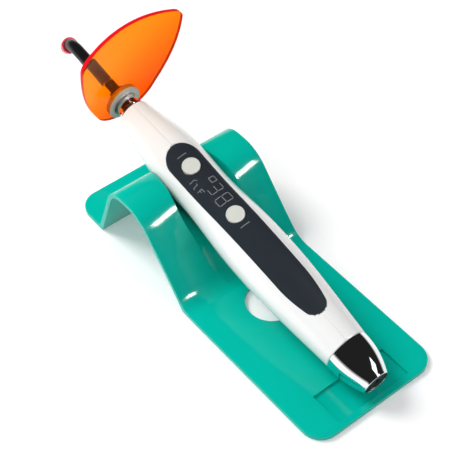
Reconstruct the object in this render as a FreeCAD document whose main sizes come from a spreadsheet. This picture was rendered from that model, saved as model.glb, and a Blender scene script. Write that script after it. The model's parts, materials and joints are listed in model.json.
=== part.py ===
"""Cordless dental curing light lying in its moulded desk stand.

Frame: millimetres, +Z up, origin on the table under the middle of the stand, +X towards the tail
of the handpiece, the stand symmetric about Y = 0.  The pieces of the handpiece are drawn in a pen
frame of their own (x from the neck towards the tail, z out of the control panel) and placed by it.
"""
import FreeCAD, Part
import os
import re
import Sketcher

V = FreeCAD.Vector

SIZES = {
    # stand: one moulded sheet
    "stand_length": (216, "stand, back edge to front edge"),
    "stand_width": (84, "width of the base"),
    "arch_width": (82.7, "width of the arch and of its foot"),
    "sheet": (2.6, "thickness of the moulded sheet"),
    "base_top": (2.6, "top of the base above the table"),
    "corner_round": (12, "round of the corners in plan"),
    "arch_height": (46, "top of the arch above the table"),
    "arch_back": (-68.3, "where the back wall meets the arch's top"),
    "arch_front": (-41.9, "where the arch's top meets the slope"),
    "wall_lean": (20, "lean of the back wall, degrees"),
    "slope_angle": (48.5, "slope down to the base, degrees"),
    "arch_back_round": (15, "outer bend at the back of the arch"),
    "arch_front_round": (24, "outer bend at the front of the arch"),
    "slope_foot_round": (16, "bend from the slope to the base"),
    "wall_foot_round": (5, "bend from the back wall to the foot"),
    "flare_start": (-24, "where the sides begin to widen"),
    "flare_end": (8, "where the sides reach the full width"),
    "trough_ease": (0.3, "extra depth of the trough between its seats"),
    "trough_mid_half": (18, "trough, half width under the power button"),
    "trough_front_half": (20.5, "trough, half width at the front of the arch"),
    "trough_slope_at": (-19, "trough section on the slope"),
    "trough_slope_half": (25.5, "trough, half width on the slope"),
    "trough_slope_floor": (12, "trough floor on the slope"),
    "trough_end_at": (4, "where the trough runs out"),
    "trough_end_half": (31, "trough, half width where it runs out"),
    "trough_end_rise": (0.6, "trough floor above the base where it runs out"),
    "hole_at": (21.4, "middle of the round hole"),
    "hole_radius": (14.6, "round hole in the base"),
    "pocket_start": (84, "tail pocket, back wall"),
    "pocket_end": (104.3, "tail pocket, front wall"),
    "pocket_half_width": (24.4, "tail pocket, half its width"),
    "pocket_floor": (1.2, "tail pocket, floor above the table"),
    "seat_gap": (0.35, "gap between a lying piece and its seat"),
    # pen frame in the stand
    "neck_x": (-104.2, "neck rim along the stand"),
    "neck_y": (1.6, "neck rim beside the middle of the stand"),
    "neck_z": (51.5, "neck rim above the table"),
    "pen_pitch": (10.6, "fall of the pen towards its tail, degrees"),
    "pen_roll": (12.4, "turn of the pen about its own length, degrees"),
    # housing
    "housing_length": (187.2, "neck rim to tail cap"),
    "wall": (2.4, "housing wall"),
    "rim_radius": (9.6, "radius at the neck rim"),
    "throat_at": (12, "throat, from the rim"),
    "throat_radius": (11.7, "radius at the throat"),
    "shoulder_at": (22, "shoulder, from the rim"),
    "shoulder_radius": (13.6, "radius at the shoulder"),
    "crown_at": (33, "front grip, from the rim"),
    "crown_radius": (15.2, "radius at the front grip"),
    "power_at": (56.3, "power button, from the rim"),
    "power_radius": (15.5, "housing radius at the power button"),
    "waist_at": (71, "waist, from the rim"),
    "waist_radius": (15.2, "radius at the waist"),
    "mode_at": (95.7, "mode button, from the rim"),
    "mode_radius": (16.8, "housing radius at the mode button"),
    "belly_at": (115, "widest place, from the rim"),
    "belly_radius": (17.4, "radius at the widest place"),
    "hip_back": (46.5, "hip, in front of the tail cap"),
    "hip_radius": (16.8, "radius at the hip"),
    "heel_back": (28, "heel, in front of the tail cap"),
    "heel_radius": (15.5, "radius at the heel"),
    "ankle_back": (11, "last ring, in front of the tail cap"),
    "ankle_radius": (14.1, "radius at the last ring"),
    "joint_radius": (13.2, "radius where the tail cap starts"),
    # control panel
    "panel_start": (39.6, "head of the panel, from the rim"),
    "panel_end": (167.6, "tail of the panel, from the rim"),
    "panel_head_radius": (10.2, "round head of the panel"),
    "panel_tail_half": (9.2, "half width before the tail's curve"),
    "panel_tail_curve": (24, "length of the tail's curve"),
    "panel_tail_tip": (5.2, "half width where the tail's end round starts"),
    "panel_tip_length": (5.4, "length of the tail's end round"),
    "panel_thickness": (1.4, "panel"),
    "panel_proud": (0.2, "panel above the housing"),
    # buttons, switches, display, board
    "button_radius": (5.2, "button cap"),
    "button_proud": (0.8, "button above the housing"),
    "button_flange": (0.9, "flange that keeps the button in, its width"),
    "button_flange_thickness": (1, "flange, its thickness"),
    "button_gap": (0.2, "button to the panel, all round"),
    "button_travel": (0.5, "how far a button goes in"),
    "stem_radius": (1.6, "button stem"),
    "board_start": (49, "board, from the rim"),
    "board_length": (52, "board"),
    "board_width": (17, "board"),
    "board_thickness": (1.6, "board"),
    "board_top": (5.4, "top of the board above the pen's axis"),
    "rail_depth": (2.2, "board edge inside its rail"),
    "rail_wall": (1.8, "rail above and below the board"),
    "switch_side": (6, "switch body"),
    "switch_height": (3.2, "switch body"),
    "plunger_radius": (1.7, "switch plunger"),
    "plunger_height": (0.8, "switch plunger above its body"),
    "display_middle": (76, "middle of the display, from the rim"),
    "display_length": (21, "display"),
    "display_width": (10.6, "display"),
    "display_height": (5.8, "display"),
    "buzzer_radius": (4.2, "buzzer"),
    "buzzer_height": (3, "buzzer"),
    # battery and its contacts
    "battery_start": (104, "battery, from the rim"),
    "battery_length": (65, "battery"),
    "battery_radius": (9, "battery"),
    "battery_button": (2.8, "raised end of the battery, radius"),
    "battery_gap": (0.2, "battery to its ribs"),
    "rib_thickness": (2, "battery rib"),
    "rib_inset": (8, "battery end to its rib"),
    "contact_thickness": (0.5, "contact strip"),
    "contact_width": (8, "contact strip"),
    "contact_leg": (4, "contact strip, spring of its legs"),
    "contact_reach": (8.1, "contact strip, middle to the end of a leg"),
    "charge_board_thickness": (1.6, "charging board"),
    # tail
    "cap_length": (23.8, "tail cap"),
    "cap_end_radius": (8.15, "tail cap at its end"),
    "cap_bulge": (46, "radius of the cap's long curve"),
    "cap_wall": (1.6, "tail cap wall"),
    "spigot_length": (6.5, "cap spigot inside the housing"),
    "plug_depth": (4, "end plug"),
    "plug_recess": (0.5, "end plug below the cap's rim"),
    "cap_lip": (1, "rim of the cap round the end plug"),
    "jack_radius": (3.1, "charging inlet"),
    "jack_reach": (6, "charging inlet behind the end plug"),
    "pin_radius": (0.65, "charging pin"),
    # neck, light source
    "collar_length": (18.6, "neck collar inside the housing"),
    "collar_gap": (0.3, "collar to the housing, all round"),
    "collar_flange": (1.2, "collar flange in front of the rim"),
    "collar_flange_radius": (8.7, "collar flange"),
    "ferrule_radius": (5.1, "end of the light guide inside the collar"),
    "socket_depth": (10, "bore for the light guide"),
    "lens_radius": (6, "collimating lens"),
    "lens_thickness": (2.4, "collimating lens"),
    "lens_edge": (1, "lens at its edge"),
    "led_thickness": (1.4, "light source base"),
    "led_dome": (2.4, "light source dome, radius"),
    "sink_length": (22, "heat sink"),
    "sink_radius": (8.6, "heat sink"),
    "fin_pitch": (3.6, "heat sink, fin to fin"),
    "fin_slot": (1.6, "heat sink, gap between fins"),
    "fin_count": (5, "heat sink, gaps between fins"),
    "sink_core": (5, "heat sink, core radius"),
    # light guide
    "fit_gap": (0.05, "running gap of a turning fit"),
    "ring_at": (5, "retaining ring, from the rim"),
    "ring_width": (1.4, "retaining ring"),
    "ring_wall": (0.9, "retaining ring"),
    "ferrule_neck": (2.4, "taper from the collar's flange to the hub"),
    "hub_step": (0.8, "small steps of the ferrule's outline"),
    "ferrule_hub_radius": (6.9, "ferrule hub that carries the shield"),
    "ferrule_hub_end": (17.5, "far end of the hub, from the rim"),
    "ferrule_nose_radius": (4.3, "ferrule nose"),
    "ferrule_nose_end": (27, "far end of the nose, from the rim"),
    "rod_radius": (3.65, "light guide rod"),
    "rod_straight": (56, "rod from the rim to its bend"),
    "bend_radius": (13, "bend of the rod, on its middle line"),
    "bend_angle": (57, "bend of the rod, degrees"),
    "rod_tip": (6.5, "straight end of the rod"),
    # tip cap
    "tip_cap_depth": (7, "tip cap over the rod"),
    "tip_cap_wall": (1.3, "tip cap wall"),
    "tip_cap_floor": (1.2, "tip cap end"),
    # shield
    "hub_at": (10.4, "shield hub in front of the rim"),
    "shield_tilt": (4.2, "tilt of the shield about its own upright, degrees"),
    "shield_thickness": (2.2, "shield plate"),
    "shield_bend": (117, "bend radius of the shield"),
    "shield_chin": (12.4, "shield below the hub"),
    "shield_chin_round": (27.6, "round of the shield's chin"),
    "shield_jaw_y": (21.9, "end of the chin's round, sideways"),
    "shield_jaw_z": (4.4, "end of the chin's round, up"),
    "shield_side_round": (103, "round of the shield's sides"),
    "shield_half_width": (35.4, "half width at the top corners"),
    "shield_corner_z": (58, "top corners above the hub"),
    "shield_top_round": (105, "round of the top edge"),
    "shield_corner_round": (4, "rounded top corners"),
    "shield_hole": (9, "hole for the grommet"),
    "grommet_radius": (11, "grommet"),
    "grommet_length": (5.6, "grommet"),
    "grommet_round": (1.2, "rounded rim of the grommet"),
}

doc = FreeCAD.newDocument("CuringLight")
sheet = doc.addObject("Spreadsheet::Sheet", "Sizes")
for row, (alias, (number, meaning)) in enumerate(SIZES.items(), start=1):
    sheet.set(f"A{row}", meaning)
    sheet.set(f"B{row}", str(number))
    sheet.setAlias(f"B{row}", alias)
doc.recompute()


# ---------------------------------------------------------------- helpers

def bound(text):
    """An expression in which every size is looked up in the sheet."""
    return re.sub(r"[a-z_]+", lambda word: "Sizes." + word[0] if word[0] in SIZES else word[0], text)


def value(text):
    """The present value of an expression over the sheet."""
    return float(sheet.evalExpression(bound(text)))


def plane(body, role):
    return next(item for item in body.Origin.OriginFeatures if item.Role == role)


def sketch_on(body, name, role, offset="0"):
    """An empty sketch on one of the body's own planes, moved along the plane's normal."""
    sketch = body.newObject("Sketcher::SketchObject", name)
    sketch.AttachmentSupport = [(plane(body, role), "")]
    sketch.MapMode = "FlatFace"
    sketch.setExpression("AttachmentOffset.Base.z", bound(offset))
    return sketch


def pin_point(sketch, geometry, end, x, y):
    """Hold one end of a curve at a place given by two expressions."""
    for kind, text in (("DistanceX", x), ("DistanceY", y)):
        index = sketch.addConstraint(Sketcher.Constraint(kind, -1, 1, geometry, end, value(text)))
        sketch.setExpression(f"Constraints[{index}]", bound(text))


def arc_between(start, end, radius):
    """The short arc that leaves the chord on its right, or on its left for a negative radius."""
    chord = end - start
    middle = (start + end) * 0.5
    left = V(-chord.y, chord.x, 0).normalize()
    side = 1 if radius > 0 else -1
    centre = middle + left * side * (radius ** 2 - (chord.Length / 2) ** 2) ** 0.5
    crest = centre - left * side * abs(radius)
    return Part.Arc(start, crest, end)


def add_outline(sketch, corners, closed=True):
    """Lines and arcs through corners (x, y) or (x, y, radius of the arc to the next corner)."""
    count = len(corners) if closed else len(corners) - 1
    places = [V(value(corner[0]), value(corner[1]), 0) for corner in corners]
    for index in range(count):
        start = places[index]
        end = places[(index + 1) % len(places)]
        if len(corners[index]) == 3:
            sketch.addGeometry(arc_between(start, end, value(corners[index][2])))
        else:
            sketch.addGeometry(Part.LineSegment(start, end))
    backwards = [curved_backwards(sketch, index, places[index]) for index in range(count)]
    for index in range(count):
        first = 2 if backwards[index] else 1
        pin_point(sketch, index, first, corners[index][0], corners[index][1])
        if index + 1 < count or closed:
            following = (index + 1) % count
            joint = Sketcher.Constraint("Coincident", index, 3 - first, following,
                                        2 if backwards[following] else 1)
            sketch.addConstraint(joint)
        else:
            pin_point(sketch, index, 3 - first, corners[-1][0], corners[-1][1])
        if len(corners[index]) == 3:
            constraint = Sketcher.Constraint("Radius", index, abs(value(corners[index][2])))
            number = sketch.addConstraint(constraint)
            sketch.setExpression(f"Constraints[{number}]", bound(f"abs({corners[index][2]})"))


def curved_backwards(sketch, index, start):
    """Sketch arcs always run anticlockwise, so an arc's first end may be the later corner."""
    return sketch.getPoint(index, 1).distanceToPoint(start) > 1e-6


def outline(body, name, role, corners, offset="0"):
    sketch = sketch_on(body, name, role, offset)
    add_outline(sketch, corners)
    return sketch


def circle(body, name, role, radius, x="0", y="0", offset="0"):
    sketch = sketch_on(body, name, role, offset)
    centre = V(value(x), value(y), 0)
    sketch.addGeometry(Part.Circle(centre, V(0, 0, 1), value(radius)))
    pin_point(sketch, 0, 3, x, y)
    index = sketch.addConstraint(Sketcher.Constraint("Radius", 0, value(radius)))
    sketch.setExpression(f"Constraints[{index}]", bound(radius))
    return sketch


def box_corners(x0, x1, y0, y1):
    return [(x0, y0), (x1, y0), (x1, y1), (x0, y1)]


def new_body(name):
    return doc.addObject("PartDesign::Body", name)


def pad(body, sketch, length, both_ways=False, kind="Pad"):
    feature = body.newObject("PartDesign::" + kind, sketch.Name + kind)
    feature.Profile = sketch
    feature.setExpression("Length", bound(length))
    feature.Midplane = both_ways
    return feature


def pocket(body, sketch, length, both_ways=False, backwards=False):
    feature = pad(body, sketch, length, both_ways, "Pocket")
    feature.Reversed = backwards
    return feature


def revolve(body, sketch, axis="H_Axis", kind="Revolution"):
    feature = body.newObject("PartDesign::" + kind, sketch.Name + kind)
    feature.Profile = sketch
    feature.ReferenceAxis = (sketch, [axis])
    feature.Angle = 360
    return feature


def lathe(name, corners, axis="H_Axis", role="XZ_Plane"):
    """A body turned about its own x axis (or z axis) from (along, radius) corners."""
    body = new_body(name)
    revolve(body, outline(body, name + "Profile", role, corners), axis)
    return body


def loft(body, sections, kind="AdditiveLoft"):
    feature = body.newObject("PartDesign::" + kind, body.Name + kind)
    feature.Profile = sections[0]
    feature.Sections = sections[1:]
    return feature


def combine(kind, name, base, tool):
    feature = doc.addObject("Part::" + kind, name)
    feature.Base = base
    feature.Tool = tool
    return feature


def join(name, shapes):
    feature = doc.addObject("Part::MultiFuse", name)
    feature.Shapes = shapes
    return feature


def block(name, x0, x1, y0, y1, z0, z1):
    """A box between six expressions."""
    feature = doc.addObject("Part::Box", name)
    for side, low, high in (("Length", x0, x1), ("Width", y0, y1), ("Height", z0, z1)):
        feature.setExpression(side, bound(f"({high}) - ({low})"))
    for letter, low in (("x", x0), ("y", y0), ("z", z0)):
        feature.setExpression("Placement.Base." + letter, bound(low))
    return feature


def rounded(name, base, places, radius):
    """Round the edges of a shape whose middles lie at the given places."""
    doc.recompute()
    edges = []
    for place in places:
        distance = [(edge.CenterOfMass.distanceToPoint(place), number)
                    for number, edge in enumerate(base.Shape.Edges, start=1)]
        edges.append(min(distance)[1])
    feature = doc.addObject("Part::Fillet", name)
    feature.Base = base
    feature.Edges = [(number, value(radius), value(radius)) for number in edges]
    return feature


PEN = "placement(vector(neck_x; neck_y; neck_z); rotation(0; pen_pitch; pen_roll))"
SUB_PARTS = []


def sub_part(feature, label, place=None):
    """Give a finished piece its label and its place."""
    feature.Label = label
    if place:
        feature.setExpression("Placement", bound(place))
    SUB_PARTS.append(feature)
    return feature


# ---------------------------------------------------------------- stand

STAND_END = "stand_length/2"
WALL_RUN = "tan(wall_lean)"
SLOPE_RUN = "1/tan(slope_angle)"


def arch_side(depth, floor):
    """Side outline of the arch, this deep inside the sheet's outer face, down to a floor."""
    top = f"(arch_height - {depth})"
    back = f"(arch_back + {depth}/cos(wall_lean) - {depth}*{WALL_RUN})"
    front = f"(arch_front - {depth}/sin(slope_angle) + {depth}*{SLOPE_RUN})"
    wall_foot = f"({back} - ({top} - {floor})*{WALL_RUN})"
    slope_foot = f"({front} + ({top} - {floor})*{SLOPE_RUN})"
    return wall_foot, back, front, slope_foot, top


def bent_block(name, body, depth, corners, span):
    """Pad a side outline across the stand and round its two top bends."""
    _, back, front, _, top = arch_side(depth, "base_top")
    pad(body, outline(body, name + "Side", "XZ_Plane", corners), span, both_ways=True)
    form = body
    for end, x in (("Back", back), ("Front", front)):
        bend = V(value(x), 0, value(top))
        form = rounded(name + end + "Bend", form, [bend], f"arch_{end.lower()}_round - {depth}")
    return form


def arch_outside():
    """The arch down to the table, with its bends into the foot and the base."""
    wall_foot, back, front, slope_foot, top = arch_side("0", "base_top")
    wall_bend = "(wall_foot_round*tan(45 - wall_lean/2))"
    slope_bend = "(slope_foot_round*tan(slope_angle/2))"
    rear = f"{wall_foot} - {wall_bend}"
    ahead = f"{slope_foot} + {slope_bend}"
    corners = [
        (rear, "0"),
        (ahead, "0"),
        (ahead, "base_top", "-slope_foot_round"),
        (f"{slope_foot} - {slope_bend}*cos(slope_angle)", f"base_top + {slope_bend}*sin(slope_angle)"),
        (front, top),
        (back, top),
        (f"{wall_foot} + {wall_bend}*sin(wall_lean)", f"base_top + {wall_bend}*cos(wall_lean)",
         "-wall_foot_round"),
        (rear, "base_top"),
    ]
    return bent_block("ArchOutside", new_body("ArchOutside"), "0", corners, "stand_width")


def arch_hollow():
    """The space under the arch, one sheet thickness inside it."""
    wall_foot, back, front, slope_foot, top = arch_side("sheet", "0")
    corners = [(wall_foot, "0"), (slope_foot, "0"), (front, top), (back, top)]
    return bent_block("ArchHollow", new_body("ArchHollow"), "sheet", corners, "2*stand_width")


def pen_seat(station, radius):
    """Where the trough passes under the pen: along the stand, and its floor."""
    along = f"neck_x + {station}*cos(pen_pitch) - {radius}*sin(pen_pitch)"
    floor = f"neck_z - {station}*sin(pen_pitch) - ({radius} + seat_gap)*cos(pen_pitch)"
    return along, floor


def trough(name, depth):
    """The valley that the pen lies in, open upwards, grown outwards by a depth."""
    crown_x, crown_floor = pen_seat("crown_at", "crown_radius")
    power_x, power_floor = pen_seat("power_at", "power_radius")
    waist_x, waist_floor = pen_seat("waist_at", "waist_radius")
    rear_step = "shoulder_at/2"
    seat_half = "crown_radius + seat_gap"
    stations = [
        (f"{crown_x} - {rear_step}", seat_half, f"{crown_floor} + {rear_step}*tan(pen_pitch)"),
        (crown_x, seat_half, crown_floor),
        (power_x, "trough_mid_half", power_floor + " - trough_ease"),
        (waist_x, "trough_front_half", waist_floor + " - trough_ease"),
        ("trough_slope_at", "trough_slope_half", "trough_slope_floor"),
        ("trough_end_at", "trough_end_half", "base_top + trough_end_rise"),
    ]
    body = new_body(name)
    sections = []
    for number, (along, half, floor) in enumerate(stations):
        reach = f"({half} + {depth})"
        middle = f"({floor} + {half})"
        top = "2*arch_height"
        left = "neck_y - " + reach
        right = "neck_y + " + reach
        corners = [(left, top), (left, middle, reach), ("neck_y", f"{middle} - {reach}", reach),
                   (right, middle), (right, top)]
        sections.append(outline(body, f"{name}Section{number}", "YZ_Plane", corners, along))
    loft(body, sections)
    return body


def stand_plan():
    """The stand seen from above: rounded corners, and sides that widen in front of the arch."""
    base = "stand_width/2"
    arch = "arch_width/2"
    step = f"({base} - {arch})"
    flare = f"(pow(flare_end - flare_start; 2) + pow({step}; 2))/(4*{step})"
    middle = "(flare_start + flare_end)/2"
    shoulder = f"({base} + {arch})/2"
    inner = f"{STAND_END} - corner_round"
    corners = [
        (f"-({inner})", f"-{arch}"),
        ("flare_start", f"-{arch}", f"-{flare}"),
        (middle, f"-{shoulder}", flare),
        ("flare_end", f"-{base}"),
        (inner, f"-{base}", "corner_round"),
        (STAND_END, f"-({base} - corner_round)"),
        (STAND_END, f"{base} - corner_round", "corner_round"),
        (inner, base),
        ("flare_end", base, flare),
        (middle, shoulder, f"-{flare}"),
        ("flare_start", arch),
        (f"-({inner})", arch, "corner_round"),
        (f"-{STAND_END}", f"{arch} - corner_round"),
        (f"-{STAND_END}", f"-({arch} - corner_round)", "corner_round"),
    ]
    body = new_body("StandPlan")
    pad(body, outline(body, "PlanOutline", "XY_Plane", corners), "2*arch_height")
    return body


def make_stand():
    wall_foot, _, _, slope_foot, _ = arch_side("0", "base_top")
    outside = arch_outside()
    valley = trough("TroughInside", "0")
    sheet_walls = combine("Cut", "ArchSheet", outside, arch_hollow())
    open_walls = combine("Cut", "ArchWithTrough", sheet_walls, valley)
    valley_wall = combine("Cut", "TroughWall", trough("TroughOutside", "sheet"), valley)
    valley_sheet = combine("Common", "TroughSheet", valley_wall, outside)
    base = block("BasePlate", slope_foot, STAND_END,
                 "-stand_width/2", "stand_width/2", "0", "base_top")
    foot = block("FootPlate", "-" + STAND_END, wall_foot,
                 "-stand_width/2", "stand_width/2", "0", "base_top")
    whole = join("StandSheet", [open_walls, valley_sheet, base, foot])
    trimmed = combine("Common", "StandTrimmed", whole, stand_plan())
    hole_body = new_body("HoleTool")
    pad(hole_body, circle(hole_body, "HoleCircle", "XY_Plane", "hole_radius", "hole_at"), "2*base_top")
    tail_pocket = block("PocketTool", "pocket_start", "pocket_end", "-pocket_half_width",
                        "pocket_half_width", "pocket_floor", "2*base_top")
    cuts = join("BaseCuts", [hole_body, tail_pocket])
    sub_part(combine("Cut", "Stand", trimmed, cuts), "stand")


# ---------------------------------------------------------------- housing

HOUSING_STATIONS = [
    ("0", "rim_radius"),
    ("throat_at", "throat_radius"),
    ("shoulder_at", "shoulder_radius"),
    ("crown_at", "crown_radius"),
    ("power_at", "power_radius"),
    ("waist_at", "waist_radius"),
    ("mode_at", "mode_radius"),
    ("belly_at", "belly_radius"),
    ("housing_length - hip_back", "hip_radius"),
    ("housing_length - heel_back", "heel_radius"),
    ("housing_length - ankle_back", "ankle_radius"),
    ("housing_length", "joint_radius"),
]


def pen_form(name, grown):
    """The housing's outer form, grown by this much (shrunk where it is negative)."""
    body = new_body(name)
    sections = [circle(body, f"{name}Ring{number}", "YZ_Plane", f"{radius} + {grown}", offset=along)
                for number, (along, radius) in enumerate(HOUSING_STATIONS)]
    loft(body, sections)
    return body


def panel_prism():
    """The panel's outline seen from above, round at its head and pointed at its tail."""
    head = "panel_start + panel_head_radius"
    side_end = "panel_end - panel_tail_curve"
    tip_start = "panel_end - panel_tip_length"
    half = "panel_tail_half"
    tip_half = "panel_tail_tip"
    tip_round = f"(pow({tip_half}; 2) + pow(panel_tip_length; 2))/(2*panel_tip_length)"
    long_round = "4*panel_tail_curve"
    corners = [
        (head, "-panel_head_radius"),
        (side_end, f"-{half}", long_round),
        (tip_start, f"-{tip_half}", tip_round),
        ("panel_end", "0", tip_round),
        (tip_start, tip_half, long_round),
        (side_end, half),
        (head, "panel_head_radius", "panel_head_radius"),
        ("panel_start", "0", "panel_head_radius"),
    ]
    body = new_body("PanelPrism")
    pad(body, outline(body, "PanelOutline", "XY_Plane", corners), "3*crown_radius")
    return body


def drill(name, radius, along, length="3*crown_radius"):
    """A round cutter that points out of the panel."""
    tool = doc.addObject("Part::Cylinder", name)
    tool.setExpression("Radius", bound(radius))
    tool.setExpression("Height", bound(length))
    tool.setExpression("Placement.Base.x", bound(along))
    return tool


def panel_blank():
    """The panel before its button holes: a curved skin let into the top of the housing."""
    skin = combine("Cut", "PanelSkin", pen_form("PanelTop", "panel_proud"),
                   pen_form("PanelBed", "panel_proud - panel_thickness"))
    return combine("Common", "PanelBlank", skin, panel_prism())


def make_panel(blank):
    hole = "button_radius + button_gap"
    holes = join("PanelHoles", [drill("PowerHole", hole, "power_at"), drill("ModeHole", hole, "mode_at")])
    sub_part(combine("Cut", "Panel", blank, holes), "control_panel", PEN)


def rails_and_ribs():
    """What stands inside the housing: two rails for the board and two ribs round the battery."""
    board_end = "board_start + board_length"
    under_board = "board_top - board_thickness"
    half = "board_width/2"
    pieces = []
    for side, low, high in (("Left", "-housing_length", f"rail_depth - {half}"),
                            ("Right", f"{half} - rail_depth", "housing_length")):
        pieces.append(block("Rail" + side, "board_start", board_end, low, high,
                            f"{under_board} - rail_wall", "board_top + rail_wall"))
    battery_end = "battery_start + battery_length"
    for name, start in (("FrontRib", "battery_start + rib_inset"),
                        ("RearRib", f"{battery_end} - rib_inset - rib_thickness")):
        pieces.append(block(name, start, f"{start} + rib_thickness", "-housing_length",
                            "housing_length", "-housing_length", "housing_length"))
    bore = drill("BatteryBore", "battery_radius + battery_gap", "battery_start", "battery_length")
    bore.Placement = FreeCAD.Placement(bore.Placement.Base, FreeCAD.Rotation(V(0, 1, 0), 90))
    slot = block("BoardSlot", "board_start", board_end, f"-{half}", half, under_board, "board_top")
    return combine("Cut", "RailsAndRibs", join("InnerBlocks", pieces), join("SupportCuts", [bore, slot]))


def make_housing(blank):
    """Two mirror halves that meet on the pen's middle plane."""
    hollow = combine("Cut", "HousingVoid", pen_form("HousingHollow", "-wall"), rails_and_ribs())
    shell = combine("Cut", "HousingShell", pen_form("HousingForm", "0"), hollow)
    openings = [
        drill("PowerWell", "button_radius + button_flange + 2*button_gap", "power_at"),
        drill("ModeWell", "button_radius + button_flange + 2*button_gap", "mode_at"),
        block("DisplayWell", "display_middle - display_length/2 - button_gap",
              "display_middle + display_length/2 + button_gap",
              "-display_width/2 - button_gap", "display_width/2 + button_gap",
              "board_top", "3*crown_radius"),
        blank,
    ]
    walls = combine("Cut", "HousingWalls", shell, join("HousingOpenings", openings))
    span = "2*crown_radius"
    for label, low, high in (("left_housing", "-" + span, "0"), ("right_housing", "0", span)):
        half = block(label + "_side", "-housing_length", "2*housing_length", low, high, "-" + span, span)
        sub_part(combine("Common", label + "_half", walls, half), label, PEN)


# ---------------------------------------------------------------- buttons, board, display

def make_button(label, along, housing_radius):
    """A round cap with a flange under the panel and a stem over its switch."""
    bed = f"({housing_radius} + panel_proud - panel_thickness)"
    edge = "(button_radius + button_flange)"
    flange_top = f"(sqrt(pow({bed}; 2) - pow({edge}; 2)) - seat_gap)"
    flange_bottom = f"({flange_top} - button_flange_thickness)"
    top = f"({housing_radius} + button_proud)"
    shoulder = f"({top} - button_proud/2)"
    stem_end = "(board_top + switch_height + plunger_height + button_travel + fit_gap)"
    corners = [
        ("0", stem_end), ("stem_radius", stem_end), ("stem_radius", flange_bottom),
        (edge, flange_bottom), (edge, flange_top), ("button_radius", flange_top),
        ("button_radius", shoulder, "button_proud"), ("button_radius - button_proud/2", top),
        ("0", top),
    ]
    body = lathe(label + "_turned", corners, "V_Axis")
    sub_part(body, label, f"{PEN} * placement(vector({along}; 0; 0); rotation(0; 0; 0))")


def make_switch(label, along):
    side = "switch_side/2"
    case = block(label + "_case", f"{along} - {side}", f"{along} + {side}", "-" + side, side,
                 "board_top", "board_top + switch_height")
    plunger = drill(label + "_plunger", "plunger_radius", along, "plunger_height")
    plunger.setExpression("Placement.Base.z", bound("board_top + switch_height"))
    sub_part(combine("Fuse", label + "_whole", case, plunger), label, PEN)


def make_board():
    half = "board_width/2"
    under_board = "board_top - board_thickness"
    board = new_body("Board")
    pad(board, outline(board, "BoardPlan", "XY_Plane", box_corners(
        "board_start", "board_start + board_length", f"-{half}", half), under_board), "board_thickness")
    sub_part(board, "circuit_board", PEN)
    buzzer = new_body("Buzzer")
    pad(buzzer, circle(buzzer, "BuzzerPlan", "XY_Plane", "buzzer_radius", "mode_at",
                       offset=f"{under_board} - buzzer_height"), "buzzer_height")
    sub_part(buzzer, "buzzer", PEN)
    display = new_body("Display")
    start = "(display_middle - display_length/2)"
    pad(display, outline(display, "DisplayPlan", "XY_Plane", box_corners(
        start, f"{start} + display_length", "-display_width/2", "display_width/2"),
        "board_top"), "display_height")
    sub_part(display, "display_module", PEN)


# ---------------------------------------------------------------- battery and contacts

def make_battery():
    face = "battery_button/2"
    cell = lathe("BatteryTurned", [
        ("battery_length", "0"), ("battery_length", "battery_radius"), (face, "battery_radius"),
        (face, "battery_button"), ("0", "battery_button"), ("0", "0"),
    ])
    sub_part(cell, "battery_cell", PEN + " * placement(vector(battery_start; 0; 0); rotation(0; 0; 0))")
    make_contact("front_contact", "battery_start", "-1")
    make_contact("rear_contact", "battery_start + battery_length", "1")


def make_contact(label, at, way):
    """A sprung strip: a flat pad on the battery's end and two legs bent back from it."""
    pad_half = "contact_width/2"
    leg = "contact_reach"
    back = f"{way}*contact_leg"
    far = f"{way}*contact_thickness"
    corners = [
        ("0", f"-{pad_half}"), ("0", pad_half), (back, leg), (f"{back} + {far}", leg),
        (far, f"{pad_half} - contact_thickness/2"), (far, f"contact_thickness/2 - {pad_half}"),
        (f"{back} + {far}", f"-{leg}"), (back, f"-{leg}"),
    ]
    body = new_body(label + "_strip")
    pad(body, outline(body, label + "_side", "XZ_Plane", corners), "contact_width", both_ways=True)
    sub_part(body, label, f"{PEN} * placement(vector({at} + {way}*fit_gap; 0; 0); rotation(0; 0; 0))")


# ---------------------------------------------------------------- tail

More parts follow.
